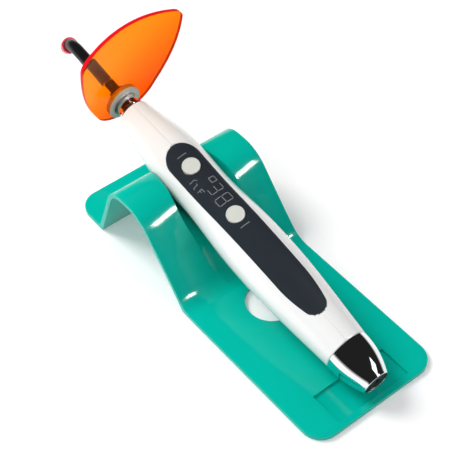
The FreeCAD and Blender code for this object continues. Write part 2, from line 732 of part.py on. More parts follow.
def make_tail():
    """The chrome cap with its spigot, the dark end plug, the charging inlet and its board."""
    inner = "(joint_radius - wall)"
    start = "(-spigot_length)"
    plug_face = "(cap_length - plug_recess)"
    plug_back = f"({plug_face} - plug_depth)"
    plug_radius = "(cap_end_radius - cap_lip)"
    corners = [
        (start, f"{inner} - cap_wall"), (start, inner), ("0", inner), ("0", "joint_radius", "-cap_bulge"),
        ("cap_length", "cap_end_radius"), ("cap_length", plug_radius), (plug_back, plug_radius),
        ("0", f"{inner} - cap_wall"),
    ]
    at = " * placement(vector(housing_length; 0; 0); rotation(0; 0; 0))"
    sub_part(lathe("CapTurned", corners), "tail_cap", PEN + at)
    bore = "jack_radius"
    plug = [
        (plug_back, bore), (plug_back, plug_radius), (plug_face, plug_radius), (plug_face, bore),
    ]
    sub_part(lathe("PlugTurned", plug), "tail_plug", PEN + at)
    jack_back = f"({plug_back} - jack_reach)"
    jack_wall = "(jack_radius - contact_thickness)"
    jack = [
        (jack_back, "pin_radius"), (jack_back, "jack_radius"), (plug_face, "jack_radius"),
        (plug_face, jack_wall), (f"{jack_back} + contact_thickness", jack_wall),
        (f"{jack_back} + contact_thickness", "pin_radius"),
    ]
    sub_part(lathe("JackTurned", jack), "charging_socket", PEN + at)
    board_back = f"({jack_back} - charge_board_thickness)"
    pin = [
        (board_back, "0"), (board_back, "pin_radius"),
        (f"{plug_face} - plug_recess", "pin_radius"), (f"{plug_face} - plug_recess", "0"),
    ]
    sub_part(lathe("PinTurned", pin), "charging_pin", PEN + at)
    board = [
        (board_back, "pin_radius"), (board_back, plug_radius),
        (jack_back, plug_radius), (jack_back, "pin_radius"),
    ]
    sub_part(lathe("ChargeBoardTurned", board), "charging_board", PEN + at)


# ---------------------------------------------------------------- neck and light source

SOCKET = "(ferrule_radius + fit_gap)"


def make_neck():
    """The metal collar that takes the light guide, with lens, light source and heat sink behind."""
    outer = "(rim_radius - wall - collar_gap)"
    led_face = "(collar_length - led_thickness)"
    groove = "(ferrule_radius + ring_wall + fit_gap)"
    groove_back = "ring_at + ring_width + fit_gap"
    groove_front = "ring_at - fit_gap"
    collar = [
        ("-collar_flange", SOCKET), ("-collar_flange", "collar_flange_radius"),
        ("0", "collar_flange_radius"), ("0", outer), ("collar_length", outer),
        ("collar_length", "lens_radius"), ("socket_depth", "lens_radius"), ("socket_depth", SOCKET),
        (groove_back, SOCKET), (groove_back, groove), (groove_front, groove), (groove_front, SOCKET),
    ]
    sub_part(lathe("CollarTurned", collar), "neck_collar", PEN)
    crown = "(lens_thickness - lens_edge)"
    lens_curve = f"-(pow(lens_radius; 2) + pow({crown}; 2))/(2*{crown})"
    lens = [
        ("socket_depth", "0"), ("socket_depth", "lens_radius"),
        ("socket_depth + lens_edge", "lens_radius", lens_curve), ("socket_depth + lens_thickness", "0"),
    ]
    sub_part(lathe("LensTurned", lens), "collimating_lens", PEN)
    led = [
        ("collar_length", "0"), ("collar_length", "lens_radius"), (led_face, "lens_radius"),
        (led_face, "led_dome", "led_dome"), (f"{led_face} - led_dome", "0"),
    ]
    sub_part(lathe("LedTurned", led), "led_module", PEN)
    make_heat_sink()


def make_heat_sink():
    sink_end = "collar_length + sink_length"
    body = lathe("SinkTurned", [("collar_length", "0"), (sink_end, "0"), (sink_end, "sink_radius"),
                                ("collar_length", "sink_radius")])
    slot_end = "collar_length + fin_pitch"
    slot = outline(body, "FinSlot", "XZ_Plane",
                   box_corners(f"{slot_end} - fin_slot", slot_end, "sink_core", "2*sink_radius"))
    cut = revolve(body, slot, kind="Groove")
    slots = body.newObject("PartDesign::LinearPattern", "FinSlots")
    slots.Originals = [cut]
    slots.Direction = (slot, ["H_Axis"])
    slots.setExpression("Length", bound("fin_pitch*(fin_count - 1)"))
    slots.setExpression("Occurrences", bound("fin_count"))
    body.Tip = slots
    sub_part(body, "heat_sink", PEN)


# ---------------------------------------------------------------- light guide

FERRULE_END = "(socket_depth - seat_gap)"
ROD_END = ("-rod_straight - bend_radius*sin(bend_angle) - rod_tip*cos(bend_angle)",
           "-bend_radius*(1 - cos(bend_angle)) - rod_tip*sin(bend_angle)")


def make_guide():
    """The retaining ring in the collar, and the ferrule and bent rod that pull out of it."""
    ring = box_corners("ring_at", "ring_at + ring_width", "ferrule_radius + fit_gap",
                       "ferrule_radius + ring_wall")
    sub_part(lathe("RingTurned", ring), "retaining_ring", PEN)
    hub_start = "-(collar_flange + seat_gap)"
    ferrule = [
        (FERRULE_END, "rod_radius"), (FERRULE_END, "ferrule_radius"), (hub_start, "ferrule_radius"),
        (hub_start, "collar_flange_radius - hub_step"),
        (f"{hub_start} - ferrule_neck", "ferrule_hub_radius"),
        ("-ferrule_hub_end", "ferrule_hub_radius"),
        ("-(ferrule_hub_end + hub_step)", "ferrule_nose_radius + hub_step"),
        ("-(ferrule_hub_end + hub_step)", "ferrule_nose_radius"),
        ("-ferrule_nose_end", "ferrule_nose_radius"), ("-ferrule_nose_end", "rod_radius"),
    ]
    sub_part(lathe("FerruleTurned", ferrule), "guide_ferrule", PEN)
    body = new_body("RodSwept")
    section = circle(body, "RodSection", "YZ_Plane", "rod_radius", offset=FERRULE_END)
    path = sketch_on(body, "RodPath", "XZ_Plane")
    add_outline(path, [
        (FERRULE_END, "0"), ("-rod_straight", "0", "bend_radius"),
        ("-rod_straight - bend_radius*sin(bend_angle)", "-bend_radius*(1 - cos(bend_angle))"),
        ROD_END,
    ], closed=False)
    pipe = body.newObject("PartDesign::AdditivePipe", "RodPipe")
    pipe.Profile = section
    pipe.Spine = (path, [])
    sub_part(body, "guide_rod", PEN)


def make_tip_cap():
    """A soft cup pushed over the end of the rod; its own x axis points out of the rod."""
    floor_in = "seat_gap"
    floor_out = "(seat_gap + tip_cap_floor)"
    bore = "(rod_radius + fit_gap)"
    rim = "(rod_radius + tip_cap_wall)"
    corners = [
        ("-tip_cap_depth", bore), ("-tip_cap_depth", rim), (f"{floor_out} - tip_cap_wall", rim,
                                                            "-tip_cap_wall"),
        (floor_out, "rod_radius"), (floor_out, "0"), (floor_in, "0"), (floor_in, bore),
    ]
    at = f"placement(vector({ROD_END[0]}; 0; {ROD_END[1]}); rotation(0; 180 - bend_angle; 0))"
    sub_part(lathe("TipCapTurned", corners), "tip_cap", f"{PEN} * {at}")


# ---------------------------------------------------------------- shield

SHIELD = ("placement(vector(neck_x; neck_y; neck_z); rotation(0; pen_pitch; 0))"
          " * placement(vector(-hub_at; 0; 0); rotation(shield_tilt; 0; 0))")


def make_shield():
    """A bent fan-shaped plate round the light guide."""
    chin = "shield_chin_round"
    side = "shield_side_round"
    corners = [
        ("0", "-shield_chin", chin), ("shield_jaw_y", "shield_jaw_z", side),
        ("shield_half_width", "shield_corner_z", "shield_top_round"),
        ("-shield_half_width", "shield_corner_z", side), ("-shield_jaw_y", "shield_jaw_z", chin),
    ]
    body = new_body("ShieldOutline")
    pad(body, outline(body, "ShieldFan", "YZ_Plane", corners), "2*shield_bend", both_ways=True)
    corner_edges = [V(0, value("shield_half_width")*side, value("shield_corner_z")) for side in (-1, 1)]
    fan = rounded("ShieldCorners", body, corner_edges, "shield_corner_round")
    bend = new_body("ShieldBend")
    for name, radius, make in (("BendOutside", "shield_bend + shield_thickness", pad),
                               ("BendInside", "shield_bend", pocket)):
        ring = circle(bend, name, "XY_Plane", radius, "shield_bend")
        make(bend, ring, "4*shield_bend", both_ways=True)
    plate = combine("Common", "ShieldPlate", fan, bend)
    hole_tool = doc.addObject("Part::Cylinder", "ShieldHole")
    hole_tool.setExpression("Radius", bound("shield_hole"))
    hole_tool.setExpression("Height", bound("shield_bend"))
    hole_tool.setExpression("Placement", bound(
        "placement(vector(-shield_bend/2; 0; 0); rotation(0; 90; 0))"))
    front = block("ShieldFront", "-shield_bend/2", "shield_bend", "-shield_bend", "shield_bend",
                  "-shield_bend", "2*shield_bend")
    plate_front = combine("Common", "ShieldFrontHalf", plate, front)
    sub_part(combine("Cut", "ShieldWithHole", plate_front, hole_tool), "shield", SHIELD)
    make_grommet(combine("Cut", "GrommetSlot", plate_front, hole_tool))


def make_grommet(slot):
    """The soft ring round the shield's hole, with the shield's plate in its slot."""
    half = "grommet_length/2"
    seat = "shield_thickness/2"
    ring = [
        (f"-{seat} - {half}", "0"), (f"{half} - {seat}", "0"),
        (f"{half} - {seat}", "grommet_radius - grommet_round", "grommet_round"),
        (f"{half} - {seat} - grommet_round", "grommet_radius"),
        (f"grommet_round - {seat} - {half}", "grommet_radius", "grommet_round"),
        (f"-{seat} - {half}", "grommet_radius - grommet_round"),
    ]
    bore = doc.addObject("Part::Cylinder", "GrommetBore")
    bore.setExpression("Radius", bound("ferrule_hub_radius + fit_gap"))
    bore.setExpression("Height", bound("4*grommet_length"))
    bore.setExpression("Placement", bound(
        "placement(vector(0; 0; 0); rotation(-shield_tilt; 0; 0))"
        " * placement(vector(-2*grommet_length; 0; 0); rotation(0; 90; 0))"))
    cuts = join("GrommetCuts", [slot, bore])
    sub_part(combine("Cut", "GrommetWhole", lathe("GrommetTurned", ring), cuts), "grommet", SHIELD)


# ---------------------------------------------------------------- build

make_stand()
panel_body = panel_blank()
make_panel(panel_body)
make_housing(panel_body)
make_button("power_button", "power_at", "power_radius")
make_button("mode_button", "mode_at", "mode_radius")
make_switch("power_switch", "power_at")
make_switch("mode_switch", "mode_at")
make_board()
make_battery()
make_tail()
make_neck()
make_guide()
make_tip_cap()
make_shield()
doc.recompute()

for item in doc.Objects:
    if "Invalid" in item.State or "Error" in item.State:
        raise RuntimeError(f"{item.Name} did not build: {item.State}")

os.makedirs("parts", exist_ok=True)
for piece in SUB_PARTS:
    if piece.Shape.isNull() or not piece.Shape.isValid():
        raise RuntimeError(f"{piece.Label} has no valid shape")
    piece.Shape.exportStep(f"parts/{piece.Label}.step")
    print(f"{piece.Label}: {len(piece.Shape.Solids)} solid(s), {piece.Shape.Volume:.1f} mm3")
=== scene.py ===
import json
import math

import bmesh
import bpy
import numpy as np
from mathutils import Matrix, Vector


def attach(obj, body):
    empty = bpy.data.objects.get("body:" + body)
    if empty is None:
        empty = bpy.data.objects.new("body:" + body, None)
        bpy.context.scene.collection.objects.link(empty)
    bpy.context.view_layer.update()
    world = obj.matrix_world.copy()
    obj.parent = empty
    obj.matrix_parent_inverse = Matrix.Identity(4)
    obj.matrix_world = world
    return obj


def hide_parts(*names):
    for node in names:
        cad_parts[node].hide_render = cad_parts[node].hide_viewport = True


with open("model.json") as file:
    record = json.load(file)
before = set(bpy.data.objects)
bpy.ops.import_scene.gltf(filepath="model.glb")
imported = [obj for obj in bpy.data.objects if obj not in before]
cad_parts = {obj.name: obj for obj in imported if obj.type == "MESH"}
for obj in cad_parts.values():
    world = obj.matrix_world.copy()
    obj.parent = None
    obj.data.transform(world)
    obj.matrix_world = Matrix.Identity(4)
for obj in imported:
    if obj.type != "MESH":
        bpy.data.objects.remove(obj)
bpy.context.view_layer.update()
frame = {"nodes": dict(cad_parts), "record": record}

# Sizes are in millimetres; every finished mesh is turned to metres by its place matrix.
# A piece of the pen has x along the pen, from the neck to the tail, and z out of the panel.
MM = 0.001

# ------------------------------------------------------------------ frames

JOINTS = {joint["name"]: joint for joint in frame["record"]["behaviour"]["joints"]}


def axes_frame(origin, along, up):
    """A matrix from a local frame in millimetres to the row frame in metres."""
    x = Vector(along).normalized()
    z = Vector(up).normalized()
    y = z.cross(x)
    turn = Matrix((x, y, z)).transposed().to_4x4()
    return Matrix.Translation(Vector(origin)) @ turn @ Matrix.Scale(MM, 4)


PEN = axes_frame(JOINTS["guide_turn"]["pos_m"],
                 -Vector(JOINTS["guide_turn"]["axis"]),
                 -Vector(JOINTS["power_press"]["axis"]))
PEN_AXIS = -Vector(JOINTS["shield_turn"]["axis"])
SHIELD_TILT = math.radians(4.2)
SHIELD = axes_frame(JOINTS["shield_turn"]["pos_m"], PEN_AXIS, PEN_AXIS.cross((0, 1, 0)))
SHIELD = SHIELD @ Matrix.Rotation(SHIELD_TILT, 4, "Z")

# ------------------------------------------------------------------ housing sizes

HOUSING_LENGTH = 187.2
WALL = 2.4
POWER_AT = 56.3
MODE_AT = 95.7
# (place along the pen, radius there)
STATIONS = [(0, 9.6), (12, 11.7), (22, 13.6), (33, 15.2), (POWER_AT, 15.5), (71, 15.2), (MODE_AT, 16.8),
            (115, 17.4), (140.7, 16.8), (159.2, 15.5), (176.2, 14.1), (HOUSING_LENGTH, 13.2)]

# The panel's half widths at its round head, where its sides end and where its tip starts.
PANEL_START = 39.6
PANEL_END = 167.6
PANEL_HEAD = 10.2
PANEL_TAIL = 9.2
PANEL_CURVE = 24.0
PANEL_TIP = 6.8
PANEL_TIP_LENGTH = 6.0
PANEL_PROUD = 0.2
PANEL_THICKNESS = 1.4

BUTTON = 5.2
BUTTON_HOLE = 5.4
BUTTON_PROUD = 0.8


def natural_spline(points):
    """A smooth curve through (x, value) points, as a function of x."""
    xs = np.array([p[0] for p in points], float)
    ys = np.array([p[1] for p in points], float)
    count = len(xs)
    gaps = np.diff(xs)
    matrix = np.eye(count)
    right = np.zeros(count)
    for i in range(1, count - 1):
        matrix[i, i - 1:i + 2] = gaps[i - 1], 2 * (gaps[i - 1] + gaps[i]), gaps[i]
        right[i] = 6 * ((ys[i + 1] - ys[i]) / gaps[i] - (ys[i] - ys[i - 1]) / gaps[i - 1])
    bends = np.linalg.solve(matrix, right)

    def curve(x):
        i = int(np.clip(np.searchsorted(xs, x) - 1, 0, count - 2))
        gap = gaps[i]
        a = (xs[i + 1] - x) / gap
        b = (x - xs[i]) / gap
        bow = ((a ** 3 - a) * bends[i] + (b ** 3 - b) * bends[i + 1]) * gap ** 2 / 6
        return float(a * ys[i] + b * ys[i + 1] + bow)

    return curve


housing_radius = natural_spline(STATIONS)

# ------------------------------------------------------------------ materials

MATERIALS = {}
COAT_ROUGHNESS = 0.06
SOFT_DEPTH = 0.003
DRIFT_SCALE, DRIFT_DETAIL = 25.0, 3.0
GRAIN_DETAIL = 2.0
RELIEF_DEPTH = 0.0003


def ramp(nodes, links, value, start, end, low, high):
    """A node output that goes from low to high while the value goes from start to end."""
    node = nodes.new("ShaderNodeMapRange")
    for name, number in (("From Min", start), ("From Max", end), ("To Min", low), ("To Max", high)):
        node.inputs[name].default_value = number
    links.new(value, node.inputs["Value"])
    return node.outputs["Result"]


def combine(nodes, links, operation, first, second):
    """The output of a maths node fed with two outputs."""
    node = nodes.new("ShaderNodeMath")
    node.operation = operation
    links.new(first, node.inputs[0])
    links.new(second, node.inputs[1])
    return node.outputs[0]


def material(name, colour, roughness, metallic=0.0, grain=900.0, bump=0.03, vary=0.04, rough_vary=0.05,
             soft=0.0, soft_radius=(1.0, 1.0, 1.0), coat=0.0, clear=0.0, ior=1.49, shine=0.5):
    """A moulded, turned or painted finish: slow colour drift, fine grain in gloss and height."""
    surface = bpy.data.materials.new(name)
    surface.use_nodes = True
    nodes, links = surface.node_tree.nodes, surface.node_tree.links
    shader = nodes["Principled BSDF"]
    shader.inputs["Metallic"].default_value = metallic
    shader.inputs["IOR"].default_value = ior
    shader.inputs["Coat Weight"].default_value = coat
    shader.inputs["Specular IOR Level"].default_value = shine
    shader.inputs["Coat Roughness"].default_value = COAT_ROUGHNESS
    shader.inputs["Transmission Weight"].default_value = clear
    shader.inputs["Subsurface Weight"].default_value = soft
    shader.inputs["Subsurface Radius"].default_value = soft_radius
    shader.inputs["Subsurface Scale"].default_value = SOFT_DEPTH
    place = nodes.new("ShaderNodeTexCoord")
    drift = nodes.new("ShaderNodeTexNoise")
    drift.inputs["Scale"].default_value = DRIFT_SCALE
    drift.inputs["Detail"].default_value = DRIFT_DETAIL
    links.new(place.outputs["Object"], drift.inputs["Vector"])
    tint = nodes.new("ShaderNodeMix")
    tint.data_type = "RGBA"
    tint.inputs["A"].default_value = (*[c * (1 - vary) for c in colour], 1)
    tint.inputs["B"].default_value = (*[min(1, c * (1 + vary)) for c in colour], 1)
    links.new(drift.outputs["Fac"], tint.inputs["Factor"])
    links.new(tint.outputs["Result"], shader.inputs["Base Color"])
    fine = nodes.new("ShaderNodeTexNoise")
    fine.inputs["Scale"].default_value = grain
    fine.inputs["Detail"].default_value = GRAIN_DETAIL
    links.new(place.outputs["Object"], fine.inputs["Vector"])
    gloss = ramp(nodes, links, fine.outputs["Fac"], 0.0, 1.0,
                 max(0.0, roughness - rough_vary), min(1.0, roughness + rough_vary))
    links.new(gloss, shader.inputs["Roughness"])
    relief = nodes.new("ShaderNodeBump")
    relief.inputs["Strength"].default_value = bump
    relief.inputs["Distance"].default_value = RELIEF_DEPTH
    links.new(fine.outputs["Fac"], relief.inputs["Height"])
    links.new(relief.outputs["Normal"], shader.inputs["Normal"])
    MATERIALS[name] = surface
    return surface


material("moulded_teal", (0.0, 0.46, 0.362), 0.12, soft=0.15, soft_radius=(0.1, 1.0, 0.8), bump=0.02,
         shine=0.25)
material("gloss_white", (0.88, 0.88, 0.875), 0.2, coat=0.5, vary=0.01, bump=0.01)
material("gloss_slate", (0.021, 0.027, 0.036), 0.28, coat=0.2, bump=0.0, vary=0.02, rough_vary=0.01)
material("print_grey", (0.19, 0.2, 0.2), 0.5)
material("pale_key", (0.62, 0.64, 0.585), 0.5, bump=0.1)
material("mirror_chrome", (0.86, 0.86, 0.87), 0.05, 1.0, vary=0.01, bump=0.0, rough_vary=0.01)
material("black_plastic", (0.01, 0.01, 0.011), 0.6, shine=0.2)
orange = material("orange_plate", (1.0, 0.27, 0.0), 0.07, clear=0.95, bump=0.0, shine=0.04, ior=1.12)
rim = material("orange_rim", (0.78, 0.004, 0.01), 0.3, shine=0.1)
material("grey_silicone", (0.42, 0.41, 0.37), 0.5, soft=0.2, bump=0.1)
material("rod_black", (0.006, 0.006, 0.008), 0.3, shine=0.35)
material("red_silicone", (0.85, 0.06, 0.08), 0.3, soft=0.6, soft_radius=(1.0, 0.3, 0.3), clear=0.25)
material("board_green", (0.01, 0.16, 0.05), 0.35, vary=0.4, grain=2500)
material("sleeve_blue", (0.02, 0.10, 0.35), 0.3)
material("gold_contact", (0.80, 0.62, 0.28), 0.2, 1.0)
material("clear_lens", (0.95, 0.97, 1.0), 0.03, clear=0.9, vary=0.01)
material("light_base", (0.85, 0.82, 0.55), 0.4, vary=0.15)
material("turned_aluminium", (0.75, 0.76, 0.78), 0.25, 1.0, grain=3000, bump=0.15)
material("spring_steel", (0.6, 0.6, 0.62), 0.3, 1.0, grain=3000)

# Painted shade: the plate is coloured darker by the hub and lighter up the plate and to its right; the
# gradient runs that way, per metre, from one level to the other.
SHADE_GRADIENT_WAY = (0.0, -7.0, 10.0)
SHADE_GRADIENT_FROM, SHADE_GRADIENT_TO = 0.45, 1.0


def paint_shade_gradient(surface, low, high, see_through=None):
    """Painted light and shade: the colour goes from low, by the hub and one side, to high at the plate's
    top and far side; on the plate, low is the darker.

    see_through is the tint of the light that goes on through the piece, in place of a full shadow.
    """
    nodes, links = surface.node_tree.nodes, surface.node_tree.links
    tint = next(node for node in nodes if node.bl_idname == "ShaderNodeMix")
    tint.inputs["A"].default_value = (*low, 1)
    tint.inputs["B"].default_value = (*high, 1)
    place = next(node for node in nodes if node.bl_idname == "ShaderNodeTexCoord")
    lean = nodes.new("ShaderNodeVectorMath")
    lean.operation = "DOT_PRODUCT"
    lean.inputs[1].default_value = SHADE_GRADIENT_WAY
    links.new(place.outputs["Object"], lean.inputs[0])
    reach = ramp(nodes, links, lean.outputs["Value"], SHADE_GRADIENT_FROM, SHADE_GRADIENT_TO, 0.0, 1.0)
    links.new(reach, tint.inputs["Factor"])
    if see_through:
        path = nodes.new("ShaderNodeLightPath")
        veil = nodes.new("ShaderNodeBsdfTransparent")
        veil.inputs["Color"].default_value = (*see_through, 1)
        either = nodes.new("ShaderNodeMixShader")
        links.new(path.outputs["Is Shadow Ray"], either.inputs[0])
        links.new(nodes["Principled BSDF"].outputs["BSDF"], either.inputs[1])
        links.new(veil.outputs["BSDF"], either.inputs[2])
        links.new(either.outputs["Shader"], nodes["Material Output"].inputs["Surface"])


# Painted shade on the plate, a deeper and darker orange by the hub; the edge's colour is graded the same
# way as painted light and shade.
paint_shade_gradient(orange, (1.0, 0.095, 0.0), (1.0, 0.265, 0.0), see_through=(1.0, 0.95, 0.9))
paint_shade_gradient(rim, (0.55, 0.09, 0.005), (0.80, 0.004, 0.012))

# ------------------------------------------------------------------ mesh tools

WELD = 1e-4
PLAN_DIGITS = 3
EASED_ANGLE = math.radians(50)


def link(name, data):
    """A new object in the scene, with this mesh, curve, lamp or camera."""
    thing = bpy.data.objects.new(name, data)
    bpy.context.scene.collection.objects.link(thing)
    return thing


def finish(thing, body, nodes=()):
    """Put the piece on the body it rides on and hide the nodes it stands for."""
    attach(thing, body)
    if nodes:
        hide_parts(*nodes)
    return thing


def ease_edges(shape, width, segments):
    """Round off the edges that turn by more than EASED_ANGLE."""
    edges = [e for e in shape.edges if e.is_manifold and e.calc_face_angle(0) > EASED_ANGLE]
    bmesh.ops.bevel(shape, geom=edges, offset=width, offset_type="OFFSET", segments=segments,
                    profile=0.5, affect="EDGES", clamp_overlap=True)


def smooth_mesh(shape, name, finishes, sharp):
    """The finished shape as a smooth-shaded mesh; its edges above sharp degrees stay crisp."""
    mesh = bpy.data.meshes.new(name)
    shape.to_mesh(mesh)
    shape.free()
    for finish_name in finishes:
        mesh.materials.append(MATERIALS[finish_name])
    mesh.shade_smooth()
    mesh.set_sharp_from_angle(angle=math.radians(sharp))
    return mesh


def mesh_piece(name, points, faces, place, finishes, ease=0.0, sharp=35.0, face_finish=None):
    """A smooth closed piece from points in millimetres, with its corners eased by that width."""
    shape = bmesh.new()
    for point in points:
        shape.verts.new(point)
    shape.verts.ensure_lookup_table()
    for number, face in enumerate(faces):
        corners = list(dict.fromkeys(face))
        if len(corners) > 2:
            made = shape.faces.new([shape.verts[i] for i in corners])
            if face_finish:
                made.material_index = face_finish[number]
    bmesh.ops.remove_doubles(shape, verts=shape.verts, dist=WELD)
    bmesh.ops.recalc_face_normals(shape, faces=shape.faces)
    if ease:
        ease_edges(shape, ease, 2)
    shape.transform(place)
    return link(name, smooth_mesh(shape, name, finishes, sharp))


def eased(corners, steps=5):
    """Corners (x, y, round) of a closed outline, each rounded off with a short curve."""
    path = []
    for i, (x, y, size) in enumerate(corners):
        here = np.array([x, y], float)
        if size == 0:
            path.append(tuple(here))
            continue
        back = np.array(corners[i - 1][:2], float) - here
        ahead = np.array(corners[(i + 1) % len(corners)][:2], float) - here
        back_length, ahead_length = np.linalg.norm(back), np.linalg.norm(ahead)
        back, ahead = back / back_length, ahead / ahead_length
        half = math.acos(float(np.clip(back @ ahead, -1, 1))) / 2
        reach = min(size / math.tan(half), 0.49 * back_length, 0.49 * ahead_length)
        for k in range(steps + 1):
            t = k / steps
            point = here + back * reach * (1 - t) ** 2 + ahead * reach * t ** 2
            path.append(tuple(point))
    return path


def arc(start, end, radius, steps=12):
    """Points of the short arc between two ends, bulging to the left of travel."""
    a, b = np.array(start, float), np.array(end, float)
    chord = b - a
    length = np.linalg.norm(chord)
    left = np.array([-chord[1], chord[0]]) / length
    centre = (a + b) / 2 - left * math.sqrt(radius ** 2 - (length / 2) ** 2)
    first = math.atan2(*(a - centre)[::-1])
    turn = math.atan2(*(b - centre)[::-1]) - first
    turn = (turn + math.pi) % (2 * math.pi) - math.pi
    return [tuple(centre + radius * np.array([math.cos(first + turn * k / steps),
                                             math.sin(first + turn * k / steps)]))
            for k in range(steps + 1)]


def ring_faces(count, turns):
    """Faces between turns copies of a closed outline of count points, round a full circle."""
    faces = []
    for k in range(turns):
        here, there = k * count, (k + 1) % turns * count
        for i in range(count):
            j = (i + 1) % count
            faces.append((here + i, here + j, there + j, there + i))
    return faces


def lathe(name, outline, place, finishes, turns=96):
    """A closed outline of (along, radius) points turned about the local x axis."""
    points = []
    count = len(outline)
    for k in range(turns):
        angle = 2 * math.pi * k / turns
        points += [(x, r * math.cos(angle), r * math.sin(angle)) for x, r in outline]
    on_axis = [outline[i][1] < WELD and outline[(i + 1) % count][1] < WELD for i in range(count)]
    faces = [face for i, face in enumerate(ring_faces(count, turns)) if not on_axis[i % count]]
    return mesh_piece(name, points, faces, place, finishes)


def welded(polygons):
    """Plan points without doubles, and the polygons as numbers into them."""
    places, points, faces = {}, [], []
    for polygon in polygons:
        face = []
        for x, y in polygon:
            key = (round(x, PLAN_DIGITS), round(y, PLAN_DIGITS))
            if key not in places:
                places[key] = len(points)
                points.append((x, y))
            if places[key] not in face:
                face.append(places[key])
        if len(face) > 2:
            faces.append(face)
    return points, faces


def slab(name, polygons, top, bottom, place, finishes, ease, wall_finish=0):
    """A plate with the given plan between two surfaces, with walls along its free edges."""
    plan, faces = welded(polygons)
    count = len(plan)
    points = [top(x, y) for x, y in plan] + [bottom(x, y) for x, y in plan]
    uses = {}
    for face in faces:
        for a, b in zip(face, face[1:] + face[:1]):
            uses.setdefault((min(a, b), max(a, b)), []).append((a, b))
    solid = [list(face) for face in faces] + [[i + count for i in reversed(face)] for face in faces]
    kinds = [0] * len(solid)
    for sides in uses.values():
        if len(sides) == 1:
            a, b = sides[0]
            solid.append([b, a, a + count, b + count])
            kinds.append(wall_finish)
    return mesh_piece(name, points, solid, place, finishes, ease, face_finish=kinds)


def grid_polygons(rows):
    """The cells between neighbouring rows of plan points."""
    cells = []
    for first, second in zip(rows, rows[1:]):
        for j in range(len(first) - 1):
            cells.append((first[j], first[j + 1], second[j + 1], second[j]))
    return cells


def holed_polygons(border, centre, radius, rings):
    """The cells between a closed border and a round hole inside it, finer by the hole."""
    crowding = 1.3
    loops = []
    c = np.array(centre, float)
    for k in range(rings + 1):
        t = (k / rings) ** crowding
        loop = []
        for point in border:
            outer = np.array(point, float)
            inner = c + radius * (outer - c) / np.linalg.norm(outer - c)
            loop.append(tuple(inner + (outer - inner) * t))
        loops.append(loop + loop[:1])
    return grid_polygons(loops)


# ------------------------------------------------------------------ housing halves and panel

SIDE_END = PANEL_END - PANEL_CURVE
TIP_START = PANEL_END - PANEL_TIP_LENGTH
TIP_ROUND = (PANEL_TIP ** 2 + PANEL_TIP_LENGTH ** 2) / (2 * PANEL_TIP_LENGTH)
HEAD_AT = PANEL_START + PANEL_HEAD
OUTLINE_STEPS = 24
TAIL_SIDE = arc((SIDE_END, PANEL_TAIL), (TIP_START, PANEL_TIP), 4 * PANEL_CURVE, OUTLINE_STEPS)
TAIL_TIP = arc((TIP_START, PANEL_TIP), (PANEL_END, 0), TIP_ROUND, OUTLINE_STEPS)


def panel_half(x):
    """Half width of the panel at a place along the pen."""
    if x <= PANEL_START or x >= PANEL_END:
        return 0.0
    if x < HEAD_AT:
        return math.sqrt(PANEL_HEAD ** 2 - (HEAD_AT - x) ** 2)
    if x < SIDE_END:
        return PANEL_HEAD + (PANEL_TAIL - PANEL_HEAD) * (x - HEAD_AT) / (SIDE_END - HEAD_AT)
    side = TAIL_SIDE if x < TIP_START else TAIL_TIP
    return float(np.interp(x, [p[0] for p in side], [p[1] for p in side]))


SEAM = 0.04
RIM = 0.5
PANEL_SINK = 1.15
PANEL_OVERLAP = 0.5
# How far the wall's outside falls back: at places along the rounded ends, and at degrees by the seam.
END_DROPS = {0: 0.5, 0.08: 0.3, 0.25: 0.12, HOUSING_LENGTH - 0.2: 0.06, HOUSING_LENGTH: 0.22}
SEAM_DROPS = {0.0: 0.16, 0.6: 0.03, 179.4: 0.03, 180.0: 0.16}


def make_housing_half(name, side):
    """One mirror half: a tube wall open on the pen's middle plane, sunk under the panel."""
    stations = [0, 0.08, 0.25, RIM] + list(np.arange(1, HOUSING_LENGTH - 1, 1.0))
    stations += [HOUSING_LENGTH - 1, HOUSING_LENGTH - RIM, HOUSING_LENGTH - 0.2, HOUSING_LENGTH]
    turns = [0.0, 0.6, 1.3] + list(np.arange(3.0, 177.1, 2.0)) + [178.7, 179.4, 180.0]
    points, faces = [], []
    for x in stations:
        outer = housing_radius(x) - END_DROPS.get(x, 0.0)
        half = panel_half(x) - PANEL_OVERLAP
        for degrees in turns:
            radius = outer - SEAM_DROPS.get(degrees, 0.0)
            y, z = radius * math.sin(math.radians(degrees)), radius * math.cos(math.radians(degrees))
            if z > 0 and y < half:
                z -= PANEL_SINK
            points.append((x, side * max(y, SEAM), z))
        inner = housing_radius(x) - WALL
        for degrees in turns:
            y, z = inner * math.sin(math.radians(degrees)), inner * math.cos(math.radians(degrees))
            points.append((x, side * max(y, SEAM), z))
    count = len(turns)
    for row in range(len(stations) - 1):
        here, there = row * 2 * count, (row + 1) * 2 * count
        inside, inside_there = here + count, there + count
        for j in range(count - 1):
            faces.append((here + j, here + j + 1, there + j + 1, there + j))
            faces.append((inside + j, inside_there + j, inside_there + j + 1, inside + j + 1))
        for j in (0, count - 1):
            faces.append((here + j, there + j, there + count + j, here + count + j))
    for base in (0, (len(stations) - 1) * 2 * count):
        for j in range(count - 1):
            faces.append((base + j, base + j + 1, base + count + j + 1, base + count + j))
    piece = mesh_piece(name, points, faces, PEN, ["gloss_white"], sharp=50)
    return finish(piece, "handpiece", [name.replace("_shell", "_housing")])


def on_housing(height):
    """A surface that follows the housing, this far above it."""
    def surface(x, y):
        radius = housing_radius(x) + height
        return (x, y, math.sqrt(max(radius ** 2 - y ** 2, 0)))
    return surface


KEY_CELL = 7.4
KEY_CELL_STEPS = 16
HOLE_RINGS = 6
PANEL_COLUMNS = 21
PANEL_EASE = 0.16


